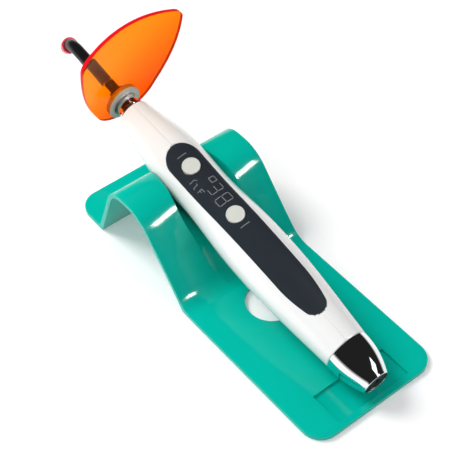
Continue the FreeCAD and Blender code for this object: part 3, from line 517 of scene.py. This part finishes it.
def make_panel():
    """The dark inlay: one curved plate with two round holes for the keys."""
    columns = np.linspace(-1, 1, PANEL_COLUMNS)
    breaks = [(middle - KEY_CELL, middle + KEY_CELL) for middle in (POWER_AT, MODE_AT)]

    def row(x):
        half = panel_half(x)
        return [(x, c * half) for c in columns]

    head = [PANEL_START + (breaks[0][0] - PANEL_START) * (1 - math.cos(t))
            for t in np.linspace(0, math.pi / 2, 20)]
    middle_span = np.linspace(breaks[0][1], breaks[1][0], 16)
    tail = list(np.linspace(breaks[1][1], SIDE_END, 26))
    tail += [p[0] for p in TAIL_SIDE[1:] + TAIL_TIP[1:]]
    cells = []
    for span in (head, middle_span, tail):
        cells += grid_polygons([row(x) for x in span])
    for (low, high), middle in zip(breaks, (POWER_AT, MODE_AT)):
        along = np.linspace(low, high, KEY_CELL_STEPS + 1)
        border = row(low)
        border += [(x, panel_half(x)) for x in along[1:-1]]
        border += row(high)[::-1]
        border += [(x, -panel_half(x)) for x in along[1:-1][::-1]]
        cells += holed_polygons(border, (middle, 0), BUTTON_HOLE, HOLE_RINGS)
    top, bottom = on_housing(PANEL_PROUD), on_housing(PANEL_PROUD - PANEL_THICKNESS)
    piece = slab("panel", cells, top, bottom, PEN, ["gloss_slate"], PANEL_EASE)
    return finish(piece, "handpiece", ["control_panel"])


def key_place(along):
    """A frame at a key whose x axis points out of the panel."""
    seat = PEN @ Matrix.Translation((along, 0, housing_radius(along)))
    return seat @ Matrix.Rotation(-math.pi / 2, 4, "Y")


# The key's raised edge, as (below the top, in from the side), and the dome within it.
KEY_FOOT = -0.3
KEY_EDGE = [(0.55, 0.0), (0.2, 0.06), (0.0, 0.35), (0.04, 0.6), (0.14, 0.85)]
DOME_RADIUS = BUTTON - 0.85
DOME_TOP, DOME_FALL = 0.05, 0.19


def make_key(name, along, body, node):
    """A domed round key with a fine raised edge, which ends just under the panel."""
    outline = [(KEY_FOOT, 0), (KEY_FOOT, BUTTON - 0.1)]
    outline += [(BUTTON_PROUD - below, BUTTON - inwards) for below, inwards in KEY_EDGE]
    outline += [(BUTTON_PROUD + DOME_TOP - DOME_FALL * (r / DOME_RADIUS) ** 2, r)
                for r in np.linspace(DOME_RADIUS, 0, 10)[1:]]
    piece = lathe(name, outline, key_place(along), ["pale_key"], turns=72)
    return finish(piece, body, [node])


make_housing_half("left_shell", -1)
make_housing_half("right_shell", 1)
make_panel()
make_key("power_key_cap", POWER_AT, "power_key", "power_button")
make_key("mode_key_cap", MODE_AT, "mode_key", "mode_button")

# ------------------------------------------------------------------ tail

TAIL = PEN @ Matrix.Translation((HOUSING_LENGTH, 0, 0))
CAP_LENGTH = 23.8
CAP_END = 8.15
CAP_BULGE = 46.0
CAP_WELL = CAP_END - 1
CAP_WELL_DEPTH = 4.5
CAP_LIP = (CAP_LENGTH - 0.7, CAP_END + 0.25)
SPIGOT_LENGTH = 6.5
SPIGOT_BORE, SPIGOT_RADIUS = 9.2, 10.4
PLUG_RECESS = 0.5
PLUG_DEPTH = 4
PLUG_RADIUS = CAP_END - 1.05
PLUG_BORE = 3.15
# A shallow groove round the plug's face.
GROOVE_DEPTH = 0.25
GROOVE_OUTER, GROOVE_BED, GROOVE_INNER = 5.6, 4.6, 4.2

joint = housing_radius(HOUSING_LENGTH)
cap_outline = [(-SPIGOT_LENGTH, SPIGOT_BORE), (-SPIGOT_LENGTH, SPIGOT_RADIUS), (0, SPIGOT_RADIUS),
               (0.0, joint - 0.3)]
cap_outline += arc((0.25, joint - 0.02), CAP_LIP, CAP_BULGE, 28)
cap_outline += eased([(*CAP_LIP, 0), (CAP_LENGTH, CAP_END, 0.35), (CAP_LENGTH, CAP_WELL, 0.15),
                      (CAP_LENGTH - CAP_WELL_DEPTH, CAP_WELL, 0)])[1:]
chrome_tail = lathe("chrome_tail", cap_outline, TAIL, ["mirror_chrome"], turns=128)
finish(chrome_tail, "handpiece", ["tail_cap"])

plug_face = CAP_LENGTH - PLUG_RECESS
groove = plug_face - GROOVE_DEPTH
plug_outline = eased([
    (plug_face - PLUG_DEPTH, PLUG_BORE, 0), (plug_face - PLUG_DEPTH, PLUG_RADIUS, 0),
    (plug_face, PLUG_RADIUS, 0.3), (groove, GROOVE_OUTER, 0.2), (groove, GROOVE_BED, 0.2),
    (plug_face, GROOVE_INNER, 0.2), (plug_face, PLUG_BORE, 0.2)])
end_plug = lathe("end_plug", plug_outline, TAIL, ["black_plastic"])
finish(end_plug, "handpiece", ["tail_plug"])

# ------------------------------------------------------------------ neck, light guide, tip cap

COLLAR_FLANGE = 1.2
COLLAR_FLANGE_RADIUS = 8.7
COLLAR_BORE, COLLAR_BORE_DEPTH = 5.15, 10
COLLAR_SLEEVE, COLLAR_LENGTH = 6.9, 18.6
COLLAR_LENS_BORE = 6
collar_outline = eased([
    (-COLLAR_FLANGE, COLLAR_BORE, 0.1), (-COLLAR_FLANGE, COLLAR_FLANGE_RADIUS, 0.35),
    (0, COLLAR_FLANGE_RADIUS, 0), (0, COLLAR_SLEEVE, 0), (COLLAR_LENGTH, COLLAR_SLEEVE, 0),
    (COLLAR_LENGTH, COLLAR_LENS_BORE, 0), (COLLAR_BORE_DEPTH, COLLAR_LENS_BORE, 0),
    (COLLAR_BORE_DEPTH, COLLAR_BORE, 0)])
collar = lathe("collar", collar_outline, PEN, ["mirror_chrome"])
finish(collar, "handpiece", ["neck_collar"])

ROD = 3.65
# The ferrule's plug in the collar, its rim, the hub that carries the shield and its slim end.
PLUG_END, FERRULE_PLUG = 9.65, 5.1
RIM_START, RIM_RADIUS = -(COLLAR_FLANGE + 0.35), 7.9
HUB, HUB_END = 6.9, -17.5
SLEEVE_START, SLEEVE_RADIUS = -18.3, 4.3
SLEEVE_END = -27
ferrule_outline = eased([
    (PLUG_END, ROD, 0), (PLUG_END, FERRULE_PLUG, 0.2), (RIM_START, FERRULE_PLUG, 0),
    (RIM_START, RIM_RADIUS, 0.2), (RIM_START - 1.0, RIM_RADIUS, 0.2), (RIM_START - 1.6, HUB, 0.1),
    (HUB_END, HUB, 0.5), (SLEEVE_START, FERRULE_PLUG, 0.2), (SLEEVE_START, SLEEVE_RADIUS, 0.1),
    (SLEEVE_END + 0.8, SLEEVE_RADIUS, 0.2), (SLEEVE_END, SLEEVE_RADIUS - 0.4, 0.1), (SLEEVE_END, ROD, 0)])
ferrule = lathe("ferrule", ferrule_outline, PEN, ["mirror_chrome"])
finish(ferrule, "light_guide", ["guide_ferrule"])

ROD_STOPS = (PLUG_END, -10, -30, -45)
ROD_STRAIGHT = 56.0
ROD_BEND = 13.0
ROD_ANGLE = math.radians(57)
ROD_BEND_STEPS = 32
ROD_TIP = 6.5
ROD_SIDES = 56


def swept_mesh(routes, radius, sides, flat, finish_name):
    """Bars along routes, made by a node tree with named sizes and turned into a plain mesh.

    flat stretches the bars' round section.
    """
    tree = bpy.data.node_groups.new("Bars along routes", "GeometryNodeTree")
    face = tree.interface
    face.new_socket("Routes", in_out="INPUT", socket_type="NodeSocketGeometry")
    size = face.new_socket("Bar radius", in_out="INPUT", socket_type="NodeSocketFloat")
    count = face.new_socket("Sides", in_out="INPUT", socket_type="NodeSocketInt")
    press = face.new_socket("Section stretch", in_out="INPUT", socket_type="NodeSocketVector")
    coat = face.new_socket("Finish", in_out="INPUT", socket_type="NodeSocketMaterial")
    face.new_socket("Bars", in_out="OUTPUT", socket_type="NodeSocketGeometry")
    nodes, links = tree.nodes, tree.links
    source = nodes.new("NodeGroupInput")
    ring = nodes.new("GeometryNodeCurvePrimitiveCircle")
    stretch = nodes.new("GeometryNodeTransform")
    upright = nodes.new("GeometryNodeSetCurveNormal")
    upright.mode = "Z_UP"
    sweep = nodes.new("GeometryNodeCurveToMesh")
    sweep.inputs["Fill Caps"].default_value = True
    real = nodes.new("GeometryNodeRealizeInstances")
    dress = nodes.new("GeometryNodeSetMaterial")
    result = nodes.new("NodeGroupOutput")
    links.new(source.outputs["Bar radius"], ring.inputs["Radius"])
    links.new(source.outputs["Sides"], ring.inputs["Resolution"])
    links.new(ring.outputs["Curve"], stretch.inputs["Geometry"])
    links.new(source.outputs["Section stretch"], stretch.inputs["Scale"])
    links.new(source.outputs["Routes"], upright.inputs["Curve"])
    links.new(upright.outputs["Curve"], sweep.inputs["Curve"])
    links.new(stretch.outputs["Geometry"], sweep.inputs["Profile Curve"])
    links.new(sweep.outputs["Mesh"], real.inputs["Geometry"])
    links.new(real.outputs["Geometry"], dress.inputs["Geometry"])
    links.new(source.outputs["Finish"], dress.inputs["Material"])
    links.new(dress.outputs["Geometry"], result.inputs["Bars"])
    curve = bpy.data.curves.new("routes", "CURVE")
    curve.dimensions = "3D"
    for route in routes:
        spline = curve.splines.new("POLY")
        spline.points.add(len(route) - 1)
        for point, place in zip(spline.points, route):
            point.co = (*place, 1)
    carrier = link("routes", curve)
    modifier = carrier.modifiers.new("Bars", "NODES")
    modifier.node_group = tree
    modifier[size.identifier] = radius
    modifier[count.identifier] = sides
    modifier[press.identifier] = flat
    modifier[coat.identifier] = MATERIALS[finish_name]
    bpy.context.view_layer.update()
    seen = carrier.evaluated_get(bpy.context.evaluated_depsgraph_get())
    mesh = bpy.data.meshes.new_from_object(seen)
    bpy.data.objects.remove(carrier)
    return mesh


rod_route = [(x, 0, 0) for x in ROD_STOPS]
for step in range(ROD_BEND_STEPS + 1):
    angle = ROD_ANGLE * step / ROD_BEND_STEPS
    rod_route.append((-ROD_STRAIGHT - ROD_BEND * math.sin(angle), 0, -ROD_BEND * (1 - math.cos(angle))))
bend_end = rod_route[-1]
rod_end = (bend_end[0] - ROD_TIP * math.cos(ROD_ANGLE), 0, bend_end[2] - ROD_TIP * math.sin(ROD_ANGLE))
rod_route.append(rod_end)
rod_mesh = swept_mesh([rod_route], ROD, ROD_SIDES, (1.0, 1.0, 1.0), "rod_black")
rod_mesh.transform(PEN)
rod_mesh.shade_smooth()
rod_mesh.set_sharp_from_angle(angle=math.radians(40))
finish(link("light_rod", rod_mesh), "light_guide", ["guide_rod"])

TIP = PEN @ Matrix.Translation(rod_end) @ Matrix.Rotation(math.pi - ROD_ANGLE, 4, "Y")
TIP_BORE = ROD + 0.05
TIP_BEAD, TIP_BODY, TIP_NOSE = 4.95, 4.7, 4.6
TIP_BACK, TIP_FRONT, TIP_FLOOR = -7, 1.55, 0.35
tip_outline = eased([
    (TIP_BACK, TIP_BORE, 0), (TIP_BACK, TIP_BEAD, 0.4), (TIP_BACK + 0.8, TIP_BEAD, 0.2),
    (TIP_BACK + 1.1, TIP_BODY, 0.2), (TIP_FRONT, TIP_NOSE, 1.4), (TIP_FRONT, 0, 0),
    (TIP_FLOOR, 0, 0), (TIP_FLOOR, TIP_BORE, 0)])
soft_tip = lathe("soft_tip", tip_outline, TIP, ["red_silicone"], turns=64)
finish(soft_tip, "rod_cap", ["tip_cap"])

# ------------------------------------------------------------------ print on the panel

SEGMENTS = {"top": ((0, 2), (1, 2)), "upper_left": ((0, 1), (0, 2)), "upper_right": ((1, 1), (1, 2)),
            "middle": ((0, 1), (1, 1)), "lower_left": ((0, 0), (0, 1)), "lower_right": ((1, 0), (1, 1)),
            "bottom": ((0, 0), (1, 0))}
NUMBERS = {
    "3": ("top", "upper_right", "middle", "lower_right", "bottom"),
    "8": tuple(SEGMENTS),
}
# Lines through (along the pen, across it): a small square by the numbers and three mode signs.
SMALL_SQUARE = [(68.3, 2.6), (71.7, 2.6), (71.7, 6.0), (68.3, 6.0), (68.3, 2.6)]
BENT_SIGN = [(64.0, -7.0), (64.0, -3.8), (65.4, -2.8)]
ANGLED_STEM, ANGLED_ARM = [(67.4, -7.0), (67.4, -4.2), (66.4, -4.2)], [(67.4, -7.0), (68.5, -7.0)]
FORKED_STEM, FORKED_ARM = [(71.0, -7.0), (71.0, -4.0), (73.6, -4.0)], [(71.0, -5.4), (72.6, -5.4)]
TICK_REACH, TICK_HALF = 8.4, 3.0
SEGMENT_GAP = 0.35
PRINT_WIDTH = 0.27
PRINT_SIDES = 8
PRINT_FLATNESS = (1.0, 0.3, 1.0)
STROKE_STEPS = 5


def on_panel(strokes):
    """Plan strokes laid on the curved panel, cut into short steps that follow it."""
    surface = on_housing(PANEL_PROUD)
    routes = []
    for (x0, y0), (x1, y1) in strokes:
        routes.append([surface(x0 + (x1 - x0) * k / STROKE_STEPS, y0 + (y1 - y0) * k / STROKE_STEPS)
                       for k in range(STROKE_STEPS + 1)])
    return routes


def number_strokes(number, x, y, width, half_height):
    """The lit segments of one number, with its lower left corner at x, y."""
    strokes = []
    for name in NUMBERS[number]:
        (a, b), (c, d) = SEGMENTS[name]
        start = np.array([x + a * width, y + b * half_height])
        end = np.array([x + c * width, y + d * half_height])
        step = (end - start) / np.linalg.norm(end - start) * SEGMENT_GAP
        strokes.append((tuple(start + step), tuple(end - step)))
    return strokes


def make_print():
    """The faint print: two numbers, the small signs and a line beside each key."""
    strokes = number_strokes("3", 73.6, -2.2, 4.4, 4.0)
    strokes += number_strokes("8", 81.6, -3.4, 5.0, 4.6)
    for line in (SMALL_SQUARE, BENT_SIGN, ANGLED_STEM, ANGLED_ARM, FORKED_STEM, FORKED_ARM):
        strokes += zip(line, line[1:])
    for x in (POWER_AT - TICK_REACH, MODE_AT + TICK_REACH):
        strokes.append(((x, -TICK_HALF), (x, TICK_HALF)))
    mesh = swept_mesh(on_panel(strokes), PRINT_WIDTH, PRINT_SIDES, PRINT_FLATNESS, "print_grey")
    mesh.transform(PEN)
    finish(link("panel_print", mesh), "handpiece")


make_print()

# ------------------------------------------------------------------ shield and grommet

SHIELD_BEND = 117.0
SHIELD_THICK = 2.2
SHIELD_HOLE = 9.0
SHIELD_HOLE_RINGS = 26
SHIELD_CHIN = 12.4
SHIELD_JAW = (21.9, 4.4)
SHIELD_TOP = (35.4, 58.0)
CHIN_ROUND, SIDE_ROUND, TOP_ROUND = 27.6, 103.0, 105.0
SHIELD_CORNER = 4.6
SHIELD_EASE = 0.45


def flipped_arc(start, end, radius, steps):
    """The short arc that bulges to the right of travel."""
    return arc(end, start, radius, steps)[::-1]


def soften(loop, corner, size):
    """Round the fan's two top corners: a short curve takes the place of the points near each."""
    def near(point):
        return math.dist((abs(point[0]), point[1]), corner)

    rounded = []
    for i, tip in enumerate(loop):
        if near(tip) > size:
            rounded.append(tip)
        elif near(tip) < 1e-6:
            turned = loop[i:] + loop[:i]
            after = next(point for point in turned if near(point) > size)
            before = next(point for point in turned[::-1] if near(point) > size)
            for t in np.linspace(0, 1, 12)[1:-1]:
                curve = (1 - t) ** 2 * np.array(before) + 2 * t * (1 - t) * np.array(tip)
                rounded.append(tuple(curve + t ** 2 * np.array(after)))
    return rounded


def make_shield():
    """The fan-shaped plate, bent about an upright axis, with a darker edge."""
    half = flipped_arc((0, -SHIELD_CHIN), SHIELD_JAW, CHIN_ROUND, 14)
    half += flipped_arc(SHIELD_JAW, SHIELD_TOP, SIDE_ROUND, 24)[1:]
    top = flipped_arc(SHIELD_TOP, (-SHIELD_TOP[0], SHIELD_TOP[1]), TOP_ROUND, 44)
    loop = half + top[1:]
    loop += [(-y, z) for y, z in half[::-1]][1:-1]
    loop = soften(loop, SHIELD_TOP, SHIELD_CORNER)
    cells = holed_polygons(loop, (0, 0), SHIELD_HOLE, SHIELD_HOLE_RINGS)

    def bent(radius):
        return lambda y, z: (SHIELD_BEND - math.sqrt(radius ** 2 - y ** 2), y, z)

    piece = slab("eye_shield_plate", cells, bent(SHIELD_BEND + SHIELD_THICK), bent(SHIELD_BEND), SHIELD,
                 ["orange_plate", "orange_rim"], SHIELD_EASE, wall_finish=1)
    return finish(piece, "eye_shield", ["shield"])


make_shield()


GROMMET_HALF = 2.8
GROMMET_OUTER, GROMMET_MOUTH = 11, 8.2
GROMMET_BORE = HUB + 0.06
COUNTERSINK = 2.2
GROMMET_TURNS = 96


def make_grommet():
    """A soft ring whose bore lies along the pen, which leans against the ring's own axis."""
    lean = (SHIELD.inverted() @ PEN).to_3x3() @ Vector((1, 0, 0))
    lean /= lean.x
    flat = lean.normalized().x
    front, back = -SHIELD_THICK / 2 - GROMMET_HALF, GROMMET_HALF - SHIELD_THICK / 2
    outer = eased([(front, GROMMET_MOUTH, 0.2), (front, GROMMET_OUTER, 1.0),
                   (back, GROMMET_OUTER, 1.0), (back, GROMMET_MOUTH, 0.2)])
    points = []
    for k in range(GROMMET_TURNS):
        angle = 2 * math.pi * k / GROMMET_TURNS
        cy, cz = math.cos(angle), math.sin(angle)
        points += [(x, r * cy, r * cz) for x, r in outer]
        for x in (back - COUNTERSINK, outer[0][0]):
            points.append((x, GROMMET_BORE * cy + lean.y * x, GROMMET_BORE * cz / flat + lean.z * x))
    faces = ring_faces(len(outer) + 2, GROMMET_TURNS)
    piece = mesh_piece("soft_ring", points, faces, SHIELD, ["grey_silicone"], sharp=40)
    return finish(piece, "eye_shield", ["grommet"])


make_grommet()

# ------------------------------------------------------------------ stand

STAND_WELD = 2e-3
STAND_FLAT = math.radians(0.4)
STAND_EASE = 0.8


def make_stand():
    """The moulded sheet, with its cut edges and the rim of its trough eased."""
    shape = bmesh.new()
    shape.from_mesh(frame["nodes"]["stand"].data)
    shape.transform(Matrix.Scale(1 / MM, 4))
    bmesh.ops.remove_doubles(shape, verts=shape.verts, dist=STAND_WELD)
    bmesh.ops.dissolve_limit(shape, angle_limit=STAND_FLAT, verts=shape.verts, edges=shape.edges)
    ease_edges(shape, STAND_EASE, 3)
    bmesh.ops.triangulate(shape, faces=[f for f in shape.faces if len(f.verts) > 4])
    shape.transform(Matrix.Scale(MM, 4))
    mesh = smooth_mesh(shape, "moulded_stand", ["moulded_teal"], sharp=40)
    return finish(link("moulded_stand", mesh), "stand", ["stand"])


make_stand()

# ------------------------------------------------------------------ nodes that keep their CAD shape

KEPT = {
    "display_module": "black_plastic", "circuit_board": "board_green", "power_switch": "black_plastic",
    "mode_switch": "black_plastic", "buzzer": "black_plastic", "battery_cell": "sleeve_blue",
    "front_contact": "gold_contact", "rear_contact": "gold_contact", "charging_socket": "black_plastic",
    "charging_pin": "gold_contact", "charging_board": "board_green", "collimating_lens": "clear_lens",
    "led_module": "light_base", "heat_sink": "turned_aluminium", "retaining_ring": "spring_steel",
}
for node, finish_name in KEPT.items():
    data = frame["nodes"][node].data
    data.materials.clear()
    data.materials.append(MATERIALS[finish_name])

# ------------------------------------------------------------------ floor, light, camera

HALF_TABLE = 4.0
TABLE_DROP = 0.0002
# Painted light: the table glows for seen and mirrored rays; the glow grows from near to far so that it
# stays white far off, while the floor near the stand is left greyer.
GLOW_NEAR, GLOW_FAR = 0.35, 1.1
GLOW_LOW, GLOW_HIGH = 0.15, 0.7
# The room lights things evenly; mirrors see it bright by the horizon and dark overhead.
ROOM_LEVEL = 0.52
SEEN_LEVEL = 1.0
HORIZON, OVERHEAD = 0.02, 0.2
HORIZON_LEVEL, OVERHEAD_LEVEL = 0.85, 0.015


def make_table():
    """A wide pale table top just below the stand's feet."""
    mesh = bpy.data.meshes.new("table")
    corners = [(x * HALF_TABLE, y * HALF_TABLE, 0) for x, y in ((-1, -1), (1, -1), (1, 1), (-1, 1))]
    mesh.from_pydata(corners, [], [(0, 1, 2, 3)])
    table = link("table", mesh)
    table.location.z = -TABLE_DROP
    paper = bpy.data.materials.new("pale_table")
    paper.use_nodes = True
    nodes, links = paper.node_tree.nodes, paper.node_tree.links
    shader = nodes["Principled BSDF"]
    shader.inputs["Base Color"].default_value = (0.86, 0.86, 0.87, 1)
    shader.inputs["Roughness"].default_value = 0.9
    shader.inputs["Specular IOR Level"].default_value = 0.1
    shader.inputs["Emission Color"].default_value = (1, 1, 1, 1)
    path = nodes.new("ShaderNodeLightPath").outputs
    seen = combine(nodes, links, "MAXIMUM", path["Is Camera Ray"], path["Is Glossy Ray"])
    seen = combine(nodes, links, "MAXIMUM", seen, path["Is Transmission Ray"])
    far = nodes.new("ShaderNodeVectorMath")
    far.operation = "LENGTH"
    links.new(nodes.new("ShaderNodeTexCoord").outputs["Object"], far.inputs[0])
    glow = ramp(nodes, links, far.outputs["Value"], GLOW_NEAR, GLOW_FAR, GLOW_LOW, GLOW_HIGH)
    glow = combine(nodes, links, "MULTIPLY", seen, glow)
    links.new(glow, shader.inputs["Emission Strength"])
    mesh.materials.append(paper)


def make_room():
    """The white surroundings, told apart for lit, mirrored and directly seen rays."""
    world = bpy.data.worlds.new("studio")
    bpy.context.scene.world = world
    world.use_nodes = True
    nodes, links = world.node_tree.nodes, world.node_tree.links
    sky = nodes["Background"]
    sky.inputs["Color"].default_value = (1, 1, 1, 1)
    path = nodes.new("ShaderNodeLightPath").outputs
    split = nodes.new("ShaderNodeSeparateXYZ")
    links.new(nodes.new("ShaderNodeTexCoord").outputs["Generated"], split.inputs["Vector"])
    mirrored = ramp(nodes, links, split.outputs["Z"], HORIZON, OVERHEAD, HORIZON_LEVEL, OVERHEAD_LEVEL)
    level = nodes.new("ShaderNodeMix")
    level.inputs["A"].default_value = ROOM_LEVEL
    links.new(path["Is Glossy Ray"], level.inputs["Factor"])
    links.new(mirrored, level.inputs["B"])
    strength = nodes.new("ShaderNodeMix")
    strength.inputs["B"].default_value = SEEN_LEVEL
    links.new(path["Is Camera Ray"], strength.inputs["Factor"])
    links.new(level.outputs["Result"], strength.inputs["A"])
    links.new(strength.outputs["Result"], sky.inputs["Strength"])


def soft_box(name, place, size, power, mirrored_only=False):
    """A lamp aimed at the row's origin; it lights things, or is only seen mirrored in them."""
    lamp = bpy.data.lights.new(name, "AREA")
    lamp.shape = "RECTANGLE"
    lamp.size, lamp.size_y = size
    lamp.energy = power
    thing = link(name, lamp)
    thing.location = place
    thing.rotation_euler = (-Vector(place)).to_track_quat("-Z", "Y").to_euler()
    thing.visible_diffuse = not mirrored_only
    thing.visible_glossy = mirrored_only
    thing.visible_transmission = False
    return thing


def lamp_for(lamp, piece, state):
    """Limit a lamp to one piece (INCLUDE), or to all the others (EXCLUDE)."""
    receivers = bpy.data.collections.new(lamp.name + "_receivers")
    receivers.objects.link(piece)
    receivers.collection_objects[0].light_linking.link_state = state
    lamp.light_linking.receiver_collection = receivers


BAR_PLACE = (0.72, 0.49, 0.83)
TARGET = Vector((-40.08, 16.46, 0)) * MM
AZIMUTH, ELEVATION, ROLL = math.radians(52.06), math.radians(48.1), math.radians(0.98)
DISTANCE = 0.744
FOCAL_LENGTH, SENSOR_WIDTH = 101.8, 36
NEAR_CLIP = 0.01


def make_camera():
    """The camera that looks down on the pen from its tail's right."""
    back = Vector((math.sin(AZIMUTH) * math.cos(ELEVATION), -math.cos(AZIMUTH) * math.cos(ELEVATION),
                   math.sin(ELEVATION)))
    lens = bpy.data.cameras.new("camera")
    lens.lens = FOCAL_LENGTH
    lens.sensor_width = SENSOR_WIDTH
    lens.clip_start = NEAR_CLIP
    camera = link("camera", lens)
    camera.location = TARGET + back * DISTANCE
    level_view = (-back).to_track_quat("-Z", "Y").to_matrix()
    camera.rotation_euler = (level_view @ Matrix.Rotation(-ROLL, 3, "Z")).to_euler()
    bpy.context.scene.camera = camera


make_table()
make_room()
soft_box("key_box", place=(-1.0, -0.45, 1.2), size=(0.7, 0.7), power=19)
soft_box("fill_box", place=(0.5, -1.1, 0.9), size=(0.8, 0.8), power=4.5)
bar_box = soft_box("bar_box", BAR_PLACE, size=(0.6, 0.2), power=26, mirrored_only=True)
lamp_for(bar_box, chrome_tail, "EXCLUDE")
cap_box = soft_box("cap_box", BAR_PLACE, size=(0.6, 0.26), power=0.8, mirrored_only=True)
lamp_for(cap_box, chrome_tail, "INCLUDE")
make_camera()
bpy.context.scene.view_settings.view_transform = "Standard"
